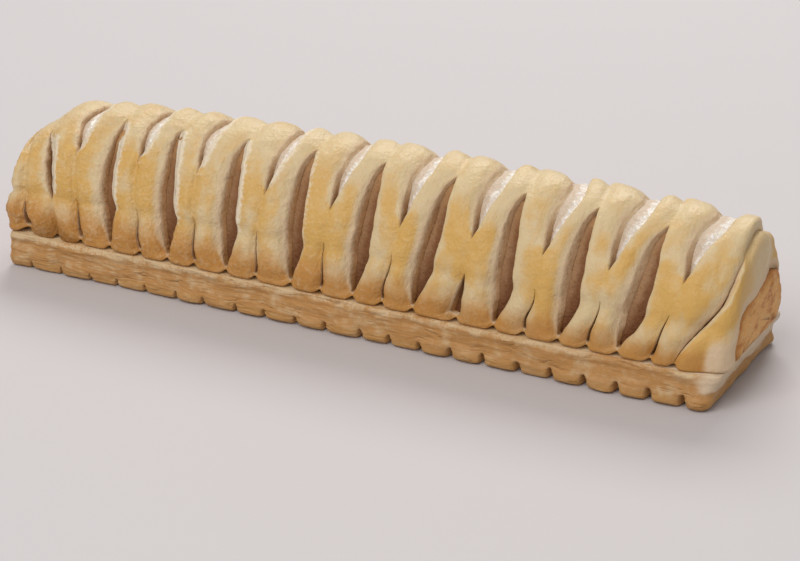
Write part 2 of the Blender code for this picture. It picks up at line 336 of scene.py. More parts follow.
# how far each slit line leans, in mm: at the foot, the middle of the side, near the crown, over the back
LEANS = ((0.9, 0.5, 0.0, 0), (2.4, 0.6, 0.2, 0), (1.5, -0.2, -1.8, 0), (1.3, 0.7, 0.9, 0), (1.8, 0.1, -1.4, 0),
         (1.1, 0.4, -0.8, 0.8), (0.2, -0.5, -2.8, -0.8), (0.3, 0.2, -0.3, 1.7), (-0.2, 0.3, 0.5, 1.1),
         (0.5, 0.1, 0.0, 1.1), (-0.2, -0.1, 0.1, 0.1), (-0.7, 0.1, 0.0, 0.2), (-1.8, 0.1, -0.4, -0.1),
         (-2.9, -0.8, -0.2, -0.1), (0.0, 0.1, -0.3, -0.3), (0.8, -0.1, -0.4, -1.1), (-0.1, 0.1, 0.6, -1.6),
         (-0.2, -0.8, 0.0, -1.6), (-1.4, -1.1, -0.4, -0.1), (-2.2, -0.9, 0.0, -0.6), (-1.8, 0.4, 0.1, 1.3),
         (-2.4, 4.6, 7.6, 8.0))


def stray(line, number, most=0.008):
    return most * random.Random(100 * line + number).uniform(-1, 1)


def line_place(line):
    """Where a slit line belongs along the roll."""
    settings = bpy.context.scene.roll_sheet
    drift = 0.0012 * math.sin(2 * math.pi * (line - 2) / (settings.lines - 3))
    squeeze = 0.0030 * math.exp(-3 * line) - 0.0026 * math.exp(-1.5 * (settings.lines - 1 - line))
    return LEFT - 0.0005 + settings.pitch * line - drift + squeeze


def line_x(line, way):
    """Where a slit line runs: its place and its lean at the foot, the middle, near the crown and over the back."""
    low, middle, high, back = LEANS[line]
    shared = (0.2, 0.3, 0.1, 0.0, -0.5, -1.2, -2.0, -2.8, -1.5, 0) if line % 2 else (
        0, -0.1, -0.3, -0.4, -0.3, 0.0, -0.4, -1.0, -0.5, 0)
    own = (low, low, (low + middle) / 2, middle, (middle + high) / 2, high, (high + back) / 2, back, back / 2, 0)
    ways = (0, 0.05, 0.13, 0.21, 0.31, 0.40, 0.5, 0.6, 0.75, 1)
    return line_place(line) + MM * curve(ways, [a + b for a, b in zip(shared, own)], way)


def slit_keys(x, line=None):
    """Ways round of the slit tips, from the front foot to the back foot."""
    crown_tip = 0.257 - 0.050 * smooth(-0.050, -0.008, x)
    side_tip = between((0.425, 0.385), x)
    front = [0.0, 0.004, FOOT_TOP, crown_tip, side_tip]
    back = front[:4] + [between((0.455, 0.435), x)]
    if line is not None:
        front = front[:2] + [key + stray(line, number) for number, key in enumerate(front[2:])]
        back = back[:2] + [key + stray(line, number + 3) for number, key in enumerate(back[2:])]
    if line == 0:
        front[2] = 0.085
    if line == 1:
        front[1], front[4] = 0.100, 0.37
    return np.array(front + [0.5] + [1 - key for key in reversed(back)], dtype=float)


def spans(line):
    """Slits on a line: the keys they run between, and the sort of slit."""
    if line % 2:
        return [(1, 4, "side"), (6, 9, "side")]
    return [(1, 2, "foot"), (8, 9, "foot")] + ([(3, 7, "crown")] if line > 0 else [])


def banks(line, way):
    """How far the left and the right bank of a slit line stand from it, at each way round."""
    settings = bpy.context.scene.roll_sheet
    x = line_place(line)
    keys = slit_keys(x, line)
    left, right = np.zeros_like(way), np.zeros_like(way)
    for first, last, sort in spans(line):
        reach = (way - keys[first]) / (keys[last] - keys[first])
        inside = (reach > 0) & (reach < 1)
        if sort != "crown" and first > 5:
            reach = 1 - reach
        reach = np.clip(reach, 0, 1)
        close = smooth(0, 0.008 if line > 1 else 0.04, reach) * smooth(1, 0.98, reach)
        if sort == "side":
            width = settings.side_slit[0] + (settings.side_slit[1] - settings.side_slit[0]) * smooth(-0.088, -0.034, x)
            width = width * {1: 0.50, 3: 0.85, 19: 1.1, settings.lines - 1: 0.12}.get(line, 1)
            open_left = close * width * curve((0, 0.05, 0.15, 0.26, 0.38, 0.51, 0.65, 0.81, 0.93, 1),
                                              (0.14, 0.26, 0.46, 0.62, 0.63, 0.61, 0.56, 0.46, 0.28, 0), reach)
            open_right = close * width * curve((0, 0.05, 0.15, 0.26, 0.38, 0.51, 0.65, 0.81, 0.93, 1),
                                               (0.02, 0.05, 0.35, 0.54, 0.43, 0.42, 0.33, 0.16, 0.04, 0), reach)
        elif sort == "crown":
            width = settings.crown_slit[0] + (settings.crown_slit[1] - settings.crown_slit[0]) * smooth(-0.075, 0.060, x)
            mirrored = 0.5 - np.abs(reach - 0.5)
            open_left = close * width * curve((0, 0.07, 0.17, 0.28, 0.38, 0.5), (0, 0.18, 0.38, 0.52, 0.54, 0.42), mirrored)
            open_right = close * width * curve((0, 0.07, 0.17, 0.28, 0.38, 0.5), (0, 0.17, 0.31, 0.42, 0.42, 0.34), mirrored)
        elif line == 14 and first < 5:
            opening = settings.torn_slit * smooth(0, 0.01, reach) * (1 - reach) ** 0.8
            open_left, open_right = 0.8 * opening, 0.2 * opening
        else:
            bend = stray(line, 9, 0.0005) * np.sin(2 * math.pi * reach)
            opening = settings.foot_slit * smooth(0, 0.01, reach) * (1 - reach) ** 0.7
            open_left, open_right = 0.5 * opening + bend, 0.5 * opening - bend
        left, right = np.where(inside, open_left, left), np.where(inside, open_right, right)
    return left, right


# ---- the sheet ----
def sheet_columns():
    """For each column of the sheet: its strip, how far across it, and the slit line on it or -1."""
    lines = bpy.context.scene.roll_sheet.lines
    columns = [(-1, step / END_COLUMNS, -1) for step in range(END_COLUMNS)]
    for line in range(lines):
        count = LINE_COLUMNS if line < lines - 1 else END_COLUMNS
        columns.append((line, 0.0, line))
        columns += [(line, step / count, -1) for step in range(1, count)]
    return columns + [(lines - 1, 1.0, -1)]


def row_share(row):
    for key, rows in enumerate(KEY_ROWS):
        if row < rows:
            return key, row / rows
        row -= rows
    return len(KEY_ROWS), 0.0


def slit_sheet(columns):
    """A flat sheet cut along its slits, then given its thickness; each vertex remembers where it belongs."""
    rows = sum(KEY_ROWS)
    start()
    bpy.ops.mesh.primitive_grid_add(x_subdivisions=len(columns) - 1, y_subdivisions=rows, size=1)
    piece = bpy.context.object
    flat = read(piece, "co", 3)
    column = np.rint((flat[:, 0] + 0.5) * (len(columns) - 1)).astype(int)
    row = np.rint((flat[:, 1] + 0.5) * rows).astype(int)

    key_row = np.concatenate([[0], np.cumsum(KEY_ROWS)])
    cut = np.zeros((len(columns), rows), dtype=bool)
    for number, (_, _, line) in enumerate(columns):
        if line >= 0:
            for first, last, _ in spans(line):
                cut[number, key_row[first]:key_row[last]] = True
    ends = edge_ends(piece)
    same = column[ends[:, 0]] == column[ends[:, 1]]
    low = np.minimum(row[ends[:, 0]], row[ends[:, 1]])
    select_edges(piece, same & cut[column[ends[:, 0]], np.minimum(low, rows - 1)])
    bpy.ops.mesh.edge_split(type="EDGE")
    bpy.ops.object.mode_set(mode="OBJECT")

    flat = read(piece, "co", 3)
    lean, uses = np.zeros(len(flat)), np.zeros(len(flat))
    for face in piece.data.polygons:
        corners = list(face.vertices)
        lean[corners] += face.center.x - flat[corners, 0]
        uses[corners] += 1
    lean *= (len(columns) - 1) / np.maximum(uses, 1)
    column = np.rint((flat[:, 0] + 0.5) * (len(columns) - 1)).astype(int)
    on_line = np.array([line >= 0 for _, _, line in columns])[column]
    write(piece, "column", column)
    write(piece, "row", np.rint((flat[:, 1] + 0.5) * rows))
    write(piece, "bank", np.where(on_line & (np.abs(lean) > 0.4), np.sign(lean), 0.0))

    count = len(flat)
    solid = piece.modifiers.new("thickness", "SOLIDIFY")
    solid.thickness, solid.offset = 0.001, -1
    bpy.ops.object.modifier_apply(modifier="thickness")
    depth = np.zeros(len(piece.data.vertices))
    depth[count:] = 1
    write(piece, "depth", depth)
    ends = edge_ends(piece)
    select_edges(piece, depth[ends[:, 0]] != depth[ends[:, 1]])
    bpy.ops.mesh.subdivide(number_cuts=3)
    bpy.ops.object.mode_set(mode="OBJECT")
    return piece


def near(distance, reach):
    return np.exp(-(distance / reach) ** 2)


def rounding(distance, radius):
    """Drop of a rounded edge at a distance from it."""
    inward = np.clip(radius - distance, 0, radius)
    return radius - np.sqrt(np.maximum(radius ** 2 - inward ** 2, 0))


def shape_sheet(piece, columns):
    settings = bpy.context.scene.roll_sheet
    lines = settings.lines
    column = np.rint(read(piece, "column")).astype(int)
    row = np.rint(read(piece, "row")).astype(int)
    bank = np.rint(read(piece, "bank")).astype(int)
    depth = read(piece, "depth")

    strip = np.array([place for place, _, _ in columns])[column]
    across = np.array([value for _, value, _ in columns])[column]
    strip, across = np.where(bank < 0, strip - 1, strip), np.where(bank < 0, 1.0, across)

    place_of = np.array([line_place(line) for line in range(lines)])
    keys = [slit_keys(place_of[line], line) for line in range(lines)]
    keys = np.array([slit_keys(LEFT)] + keys + [slit_keys(RIGHT)])   # index: line + 1
    row_key = np.array([row_share(number) for number in range(sum(KEY_ROWS) + 1)])
    key, rest = row_key[:, 0].astype(int)[row], row_key[:, 1][row]
    key_after = np.minimum(key + 1, 10)

    def way_on(line_index):
        return keys[line_index, key] * (1 - rest) + keys[line_index, key_after] * rest

    blend = smooth(0, 1, across)
    way = way_on(strip + 1) * (1 - blend) + way_on(strip + 2) * blend
    half_way = np.minimum(way, 1 - way)

    # the banks on both sides of each vertex's strip; at the ends the strip runs on to the mouth
    start, _, _, quarter, more, _, _ = end_turn(-1, way)
    left_place = start - quarter - more
    start, _, _, quarter, more, _, _ = end_turn(1, way)
    right_place = start + quarter + more
    mouth_left, mouth_right = left_place.copy(), right_place.copy()
    left_open, right_open = np.zeros_like(way), np.zeros_like(way)
    left_width, right_width = np.zeros_like(way), np.zeros_like(way)
    for line in range(lines):
        here = strip == line
        opened_left, opened_right = banks(line, way[here])
        left_place[here] = line_x(line, way[here])
        left_open[here], left_width[here] = opened_right, opened_left + opened_right
        here = strip == line - 1
        opened_left, opened_right = banks(line, way[here])
        right_place[here] = line_x(line, way[here])
        right_open[here], right_width[here] = opened_left, opened_left + opened_right

    x_place = left_place
    ragged = np.stack([way * 105, 3.3 * strip, 0 * way], 1)
    wobble = rough(ragged, 5.0, 3) * between((0.00034, 0.00014), left_place)
    left_ease, right_ease = smooth(0.0002, 0.0016, left_width), smooth(0.0002, 0.0016, right_width)
    left_ease = np.where(strip == lines - 1, smooth(0.0001, 0.0005, left_width), left_ease)
    right_ease = np.where(strip == lines - 2, smooth(0.0001, 0.0005, right_width), right_ease)
    left_bank = left_place + left_open + wobble * left_ease
    right_bank = right_place - right_open + wobble * right_ease
    wall_run = np.minimum(0.34 * right_width, settings.wall) * (1 - 0.5 * smooth(0.24, 0.36, half_way))
    shelf = 0.0011 * smooth(0.0, -0.06, x_place) * smooth(0.10, 0.16, half_way)
    spread = across - 0.09 * np.sin(2 * math.pi * across)
    x = left_bank + (right_bank - left_bank) * spread

    # a strip stands proud between open slits; its left edge is crisp and its right edge slopes away
    from_left, from_right = x - left_bank, right_bank - x
    left_odd, right_odd = strip % 2 == 1, strip % 2 == 0
    near_crown = smooth(0.30, 0.42, half_way)
    faint = between((1.0, 0.10), x) * smooth(0.03, 0.08, half_way)
    closed_left = np.where(left_odd, 0.9 * near_crown, faint) * (1 - left_ease) * (strip >= 0)
    closed_right = np.where(right_odd, 0.9 * near_crown, faint) * (1 - right_ease) * (strip < lines - 1)
    wide_left, wide_right = np.where(left_odd, 0.0018, 0.0010), np.where(right_odd, 0.0018, 0.0010)
    valley = (0.35 * left_ease * np.exp(-(from_left / 0.0012) ** 2) + 0.8 * right_ease * np.exp(-(from_right / 0.0030) ** 2)
              + closed_left * np.exp(-(from_left / wide_left) ** 2) + closed_right * np.exp(-(from_right / wide_right) ** 2))
    foot_fold = smooth(0.135, 0.10, half_way) * (strip >= 0)
    valley = valley + 0.45 * foot_fold * (near(from_left, 0.0013) + near(from_right, 0.0013))
    valley = valley + 1.7 * near_crown * np.where(strip == lines - 2, near(from_right, 0.0019) + 0.5 * near(from_left, 0.0014),
                                                  np.where(strip == lines - 1, near(from_left, 0.0012), 0))
    crisp = rounding(from_left, settings.crisp_edge + 0.0013 * smooth(-0.02, -0.07, x)) * left_ease
    slope_run = np.clip(0.55 * right_width, 0.0004, settings.soft_edge)
    slope_run = np.where(strip == lines - 2, 0.0042 * smooth(0.0, 0.0010, right_width) + 0.0004, slope_run)
    soft = 0.36 * slope_run * np.clip(1 - from_right / slope_run, 0, 1) ** 2 * right_ease
    toe_size = between((0.0007, 0.0004), x) + 0.0006 * smooth(-0.080, -0.094, x)
    toe = np.exp(-((half_way - 0.050) / 0.032) ** 2) - 0.7 * np.exp(-((half_way - 0.115) / 0.018) ** 2)
    toe = toe - 0.7 * near(np.minimum(from_left, from_right), 0.0008) * smooth(0.11, 0.03, half_way)
    heel = rounding(0.035 * np.sin(math.pi * half_way), 0.0004) * smooth(0.0950, 0.0900, x)
    ended = np.clip(np.maximum((TURNS[-1][0] - x) / 0.006, (x - TURNS[1][0]) / 0.006), 0, 1)
    lift = settings.puff * (1 - valley) - crisp - soft - heel + toe_size * toe * (1 - ended)
    lift = lift * (1 - depth) - thickness(way) * depth * (1 - 0.3 * ended)
    corner = near(from_left, 0.0011) * (strip >= 0) + near(from_right, 0.0011) * (strip < lines - 1)
    raised = 0.0100 * np.minimum(corner, 1) * np.clip(1 - half_way / 0.06, 0, 1)
    # a small raised crease under each crown slit tip, also painted pale below as its highlight
    scar = sum(near(x - line_x(line, way) - 0.0011, 0.0024) * near((way - keys[line + 1, 3]) * 0.088, 0.0008)
               for line in (2, 4, 6, 8))
    lift = lift + 0.0003 * scar * (1 - depth)
    edge = (depth > 0.01) & (depth < 0.99)
    x = x - np.where(edge & (bank > 0), (0.0002 + shelf) * np.sin(math.pi * depth), 0)
    x = x + np.where(bank < 0, wall_run * depth * (0.35 + 0.65 * depth), 0)
    below = depth > 0.99
    x = x + np.where(below & (bank >= 0), np.minimum(wall_run, 0.3 * (right_bank - left_bank)) * across ** 3, 0)

    point, out = loaf_point(x, np.where(way < 0.5, way + raised, way - raised), lift)
    skin = 1 - depth
    torn = smooth(-0.02, -0.07, x)
    fuzz = np.where((bank != 0) & (depth > 0.1), 0.00016 + 0.00008 * torn, (0.00010 + 0.00025 * torn) * near(from_left, 0.0013) * left_ease)
    fuzz = fuzz * rough(point, 0.0010, 5, 1)
    swell = 0.00038 * rough(point, 0.0085, 1) + 0.00014 * rough(point, 0.0028, 2)
    blister = between((0.00024, 0.00004), x) * rough(point, 0.0012, 4, 1)
    lowest = smooth(FOOT, FOOT + 0.0012, point[:, 2])
    point = point + out * (((swell + blister) * skin + fuzz * (1 - depth ** 4)) * lowest)[:, None]
    point[:, 0] += fuzz * lowest
    lo, hi = CAD_BOX
    point[:, 0] = np.clip(point[:, 0], lo[0], hi[0])
    point[:, 1] = np.clip(point[:, 1], lo[1], hi[1])
    point[:, 2] = np.clip(point[:, 2], FOOT, hi[2])
    write(piece, "co", point)

    # how each place baked, and where shade and highlight are painted
    near_left = np.exp(-from_left / 0.0008) * left_ease
    pale_edge = smooth(0.85 * slope_run, 0.0, from_right) * right_ease
    turned = smooth(0.0036, 0.0026, np.minimum(mouth_right - x, x - mouth_left) + 0.0004 * rough(point, 0.0016, 6, 1))
    corner_pale = smooth(0.0925, 0.0958, point[:, 0] + 0.0006 * rough(point, 0.0025, 8, 1)) * smooth(0.022, 0.013, point[:, 2])
    turned = np.maximum(turned, corner_pale)
    # whitish fuzz on the cut banks at the left end, plus the painted highlight on the creases under the crown slit tips
    sugary = np.where(edge & (bank > 0), 1.0, smooth(0.0030, 0.0006, from_left) * left_ease) * smooth(0.08, 0.14, half_way) * smooth(0.02, -0.05, x) + 0.45 * scar
    write(piece, "skin_height", half_way * 2)
    write(piece, "cut_dough", np.clip(np.maximum(np.maximum(smooth(0.0, 0.3, depth), 0.62 * pale_edge), turned), 0, 1))
    write(piece, "strip_edge", np.clip(near_left + pale_edge, 0, 1))
    write(piece, "sugary", np.clip(sugary, 0, 1))
    # depth down a slit wall, which sets the painted shade on it
    write(piece, "wall_depth", depth * (bank != 0))
    write(piece, "leftward", 1 - along(x))
    open_sides = np.maximum(left_ease * np.exp(-from_left / 0.0020), right_ease * np.exp(-from_right / 0.0024))
    write(piece, "strip_middle", 1 - open_sides + 1.6 * (strip == lines - 1) * near(from_left - 0.0020, 0.0022))
    for name in ("column", "row", "bank", "depth"):
        piece.data.attributes.remove(piece.data.attributes[name])


# ---- shader maths as plain expressions ----
class Wire:
    """A shader socket that can be added, multiplied and mixed."""

    def __init__(self, tree, socket):
        self.tree, self.socket = tree, socket

    def math(self, operation, other=None, clamp=False):
        values = {0: self} if other is None else {0: self, 1: other}
        return self.tree.node("ShaderNodeMath", values, operation=operation, use_clamp=clamp)

    def __add__(self, other):
        return self.math("ADD", other)

    def __sub__(self, other):
        return self.math("SUBTRACT", other)

    def __mul__(self, other):
        return self.math("MULTIPLY", other)

    def __rsub__(self, other):
        return self.tree.node("ShaderNodeMath", {0: other, 1: self}, operation="SUBTRACT")

    def __pow__(self, other):
        return self.math("POWER", other)

    __radd__, __rmul__ = __add__, __mul__

    def ramp(self, low, high):
        """0 below low, 1 above high, eased between."""
        return self.tree.node("ShaderNodeMapRange", {"Value": self, "From Min": low, "From Max": high},
                              interpolation_type="SMOOTHSTEP")


class Shader:
    """A material whose nodes are made one by one."""

    def __init__(self, name):
        self.material = bpy.data.materials.new(name)
        self.material.use_nodes = True
        self.nodes, self.links = self.material.node_tree.nodes, self.material.node_tree.links
        self.surface = self.nodes["Principled BSDF"]
        self.place = self.node("ShaderNodeTexCoord", {}, output="Object")

    def node(self, sort, inputs, output=0, **settings):
        made = self.nodes.new(sort)
        for key, value in settings.items():
            setattr(made, key, value)
        for key, value in inputs.items():
            self.feed(made.inputs[key], value)
        return Wire(self, made.outputs[output])

    def feed(self, socket, value):
        if isinstance(value, Wire):
            self.links.new(value.socket, socket)
        elif hasattr(socket.default_value, "__len__"):
            value = tuple(value)
            socket.default_value = value + (1.0,) * (len(socket.default_value) - len(value))
        else:
            socket.default_value = value

    def attribute(self, name):
        return self.node("ShaderNodeAttribute", {}, output="Fac", attribute_name=name)

    def grain(self, size, detail=3.0, roughness=0.55, stretch=(1, 1, 1)):
        """Noise whose bumps are about one size across, 0 to 1."""
        placed = self.node("ShaderNodeMapping", {"Vector": self.place, "Scale": stretch})
        return self.node("ShaderNodeTexNoise", {"Vector": placed, "Scale": 1 / size, "Detail": detail,
                                                "Roughness": roughness}, noise_dimensions="3D")

    def mix(self, factor, first, second):
        return self.node("ShaderNodeMix", {0: factor, 6: first, 7: second}, output=2, data_type="RGBA")

    def finish(self, colour, roughness, bumps=(), **constants):
        """Colour, roughness and a stack of bumps as (height, strength, distance)."""
        normal = None
        for height, strength, distance in bumps:
            inputs = {"Height": height, "Strength": strength, "Distance": distance}
            if normal:
                inputs["Normal"] = normal
            normal = self.node("ShaderNodeBump", inputs)
        self.feed(self.surface.inputs["Base Color"], colour)
        self.feed(self.surface.inputs["Roughness"], roughness)
        if normal:
            self.feed(self.surface.inputs["Normal"], normal)
        for key, value in constants.items():
            self.feed(self.surface.inputs[key], value)
        return self.material


def sheet_material(settings):
    shader = Shader("golden_pastry")
    height, cut = shader.attribute("skin_height"), shader.attribute("cut_dough")
    edge, wall = shader.attribute("strip_edge"), shader.attribute("wall_depth")
    middle = shader.attribute("strip_middle")
    sugary, leftward = shader.attribute("sugary"), shader.attribute("leftward")
    patches = shader.grain(0.0080, 2.5, stretch=(1, 0.7, 0.55))
    wrinkles = shader.grain(0.0019, 2.0, stretch=(1, 0.5, 0.35))
    flecks = shader.grain(0.0032, 3.0)
    fine = shader.grain(0.0009, 2.0)
    specks = shader.grain(0.0004, 1.0)

    band = height.ramp(0.05, 0.30) * (1 - height.ramp(0.45, 0.95))
    golden = (band * 0.65 * middle.ramp(0.0, 0.8) + middle.ramp(1.0, 2.2) * 1.1 + (patches - 0.5) * 3.4 + (flecks - 0.5) * 1.0
              + 0.15 - edge * 0.45).ramp(-0.05, 0.95) * (1 - height.ramp(0.55, 0.85) * 0.7)
    feet = (1 - height.ramp(0.01, 0.28) + (patches - 0.5) * 0.9 + (flecks - 0.5) * 0.4 - edge * 0.2
            + leftward * 0.50 - 0.22).ramp(0.15, 1.0)
    skin = shader.mix(golden, settings.cream, settings.gold)
    skin = shader.mix(feet, skin, settings.brown)
    skin = shader.mix((fine + (flecks - 0.5) * 0.7).ramp(0.44, 0.86) * (leftward * 0.34 + 0.02), skin, (0.78, 0.64, 0.43))
    # painted shade: the slit walls go from cut dough to the deep colour down the wall, less near the crown and towards
    # the right end
    shade = 1 - height.ramp(0.50, 0.78) * (1 - leftward.ramp(0.45, 1.0) * 0.75)
    shade = shade * (leftward.ramp(0.05, 0.45) * 0.5 + 0.5)
    walls = shader.mix((wall + (fine - 0.5) * 0.3).ramp(0.05, 0.70) * shade, settings.cut, settings.deep_shade)
    walls = shader.mix((1 - height.ramp(0.03, 0.16)) * 0.75 * wall.ramp(0.0, 0.3), walls, settings.foot_wall)
    pale = (cut + (flecks - 0.5) * 0.5 * cut * (1 - cut) * 4).ramp(0.10, 0.85)
    colour = shader.mix(pale, skin, walls)
    # whitish fuzz on the cut banks, and the painted highlight on the creases under the crown slit tips
    colour = shader.mix((sugary + (fine - 0.5) * 2.2 * sugary).ramp(0.25, 0.80) * 0.75, colour, (0.80, 0.71, 0.57))
    rough_skin = 0.40 + flecks * 0.16 + pale * 0.30
    return shader.finish(
        colour, rough_skin,
        bumps=[(wrinkles, 0.35, 0.0009), (flecks, 0.40, 0.0009), (fine * (leftward + 0.5), 0.60, 0.00042),
               (specks, 0.30, 0.00014)],
        **{"Specular IOR Level": 0.42, "Subsurface Weight": 0.12, "Subsurface Radius": (0.9, 0.45, 0.2),
           "Subsurface Scale": 0.0020, "Coat Weight": 0.0})


def base_material(settings):
    shader = Shader("layered_pastry")
    height, groove = shader.attribute("layer_height"), shader.attribute("layer_groove")
    lump, end = shader.attribute("lump"), shader.attribute("pale_end")
    flaky = 0.35 + shader.attribute("leftward") * 0.65
    flat = shader.node("ShaderNodeCombineXYZ", {"X": shader.attribute("page_distance") * 0.10,
                                                "Y": shader.attribute("page_height") * 1.0})
    streaks = shader.node("ShaderNodeTexNoise", {"Vector": flat, "Scale": 1.0, "Detail": 2.5, "Roughness": 0.50})
    line = (streaks - 0.52) * (streaks - 0.52) * 400
    thin = (1 - line.ramp(0.0, 1.0)) * flaky
    cloud = shader.grain(0.0060, 2.0)
    flecks = shader.grain(0.0022, 3.0)
    fine = shader.grain(0.0006, 2.0)
    ledge = height.ramp(0.78, 0.95)
    pale = ((streaks - 0.5) * 0.9 * flaky + (flecks - 0.5) * 1.1 + (cloud - 0.5) * 1.7 + 0.16
            + (fine - 0.45) * 2.4 * ledge * flaky + ledge * (flaky * 0.45 + 0.10)).ramp(0.0, 1.0)
    colour = shader.mix(pale, settings.tan, settings.pale)
    colour = shader.mix((lump + (flecks - 0.5) * 0.8).ramp(0.2, 0.9) * 0.8, colour, settings.gold)
    # painted shade: darker in the cracks between layers and in the notches
    painted_shade = (groove + (flecks - 0.5) * 0.5).ramp(0.35, 1.0)
    colour = shader.mix(painted_shade * 0.45, colour, settings.crack)
    colour = shader.mix(thin * flecks.ramp(0.35, 0.65) * 0.42, colour, (0.66, 0.50, 0.30))
    colour = shader.mix((end + (flecks - 0.5) * 0.5).ramp(0.2, 0.8) * 0.9, colour, (0.68, 0.54, 0.38))
    return shader.finish(
        colour, 0.5 + flecks * 0.2,
        bumps=[(streaks * flaky, 0.35, 0.0007), (flecks, 0.40, 0.0007), (fine, 0.45, 0.00025)],
        **{"Specular IOR Level": 0.35, "Subsurface Weight": 0.08, "Subsurface Radius": (0.9, 0.45, 0.2),
           "Subsurface Scale": 0.0018})


def meat_material(settings):
    shader = Shader("baked_sausage_meat")
    top, toast = shader.attribute("meat_top"), shader.attribute("toast")
    crumb = shader.grain(0.0022, 3.0)
    fine = shader.grain(0.0008, 2.0)
    spots = shader.grain(0.0030, 2.0, stretch=(1, 0.5, 1))
    grit = shader.grain(0.0010, 2.0, stretch=(1, 0.5, 1))
    leftward, from_bank = shader.attribute("leftward"), shader.attribute("from_bank")
    # painted shade and painted light on the meat in the side slits: darkest where it is low, tan higher up, lighter at
    # the top tips
    side = shader.mix((top + (crumb - 0.5) * 0.35 + leftward.ramp(0.70, 1.0) * 0.3).ramp(0.15, 0.70), settings.painted_shade, settings.tan)
    side = shader.mix((top + (crumb - 0.5) * 0.2 + leftward.ramp(0.80, 1.0) * 0.3).ramp(0.72, 1.0), side, settings.tip)
    # nearness to the left wall of a slit: painted light on the meat there in the side slits, painted shade in the crown
    # slits
    painted_by_wall = 1 - (from_bank + (crumb - 0.5) * 0.5 - top * 0.12).ramp(0.30, 0.66)
    side = shader.mix(painted_by_wall * top.ramp(0.05, 0.55) * (1 - leftward * 0.7), side, settings.painted_by_wall)
    bare = shader.attribute("under_crown_slit")
    shaded = shader.mix(painted_by_wall, settings.pale, settings.shaded)
    # under the crown slits: the meat's own pale colour lightened as painted light from above, with white specks that
    # are partly fat and partly painted highlights, fewer in the painted shade by the left wall
    colour = shader.mix((bare + (crumb - 0.5) * 0.5 * bare).ramp(0.30, 0.80), side, shaded)
    colour = shader.mix((fine + (crumb - 0.5) * 0.4).ramp(0.48, 0.60) * bare.ramp(0.3, 0.9) * (0.95 - painted_by_wall * 0.85), colour, (0.92, 0.88, 0.83))
    toasted = shader.mix((spots + (grit - 0.5) * 0.5).ramp(0.50, 0.68) * 0.80, settings.toasted, (0.46, 0.15, 0.025))
    toasted = shader.mix((shader.attribute("meat_rim") + (spots - 0.5) * 1.2).ramp(0.25, 0.95) * 0.75, toasted, (0.52, 0.19, 0.035))
    toasted = shader.mix(grit.ramp(0.50, 0.70) * 0.45, toasted, (0.84, 0.58, 0.29))
    colour = shader.mix(toast, colour, toasted)
    return shader.finish(
        colour, 0.55 + crumb * 0.2,
        bumps=[(crumb, 0.6, 0.0009), (fine, 0.9, 0.0005)],
        **{"Specular IOR Level": 0.4, "Subsurface Weight": 0.10, "Subsurface Radius": (1.0, 0.4, 0.25),
           "Subsurface Scale": 0.002})


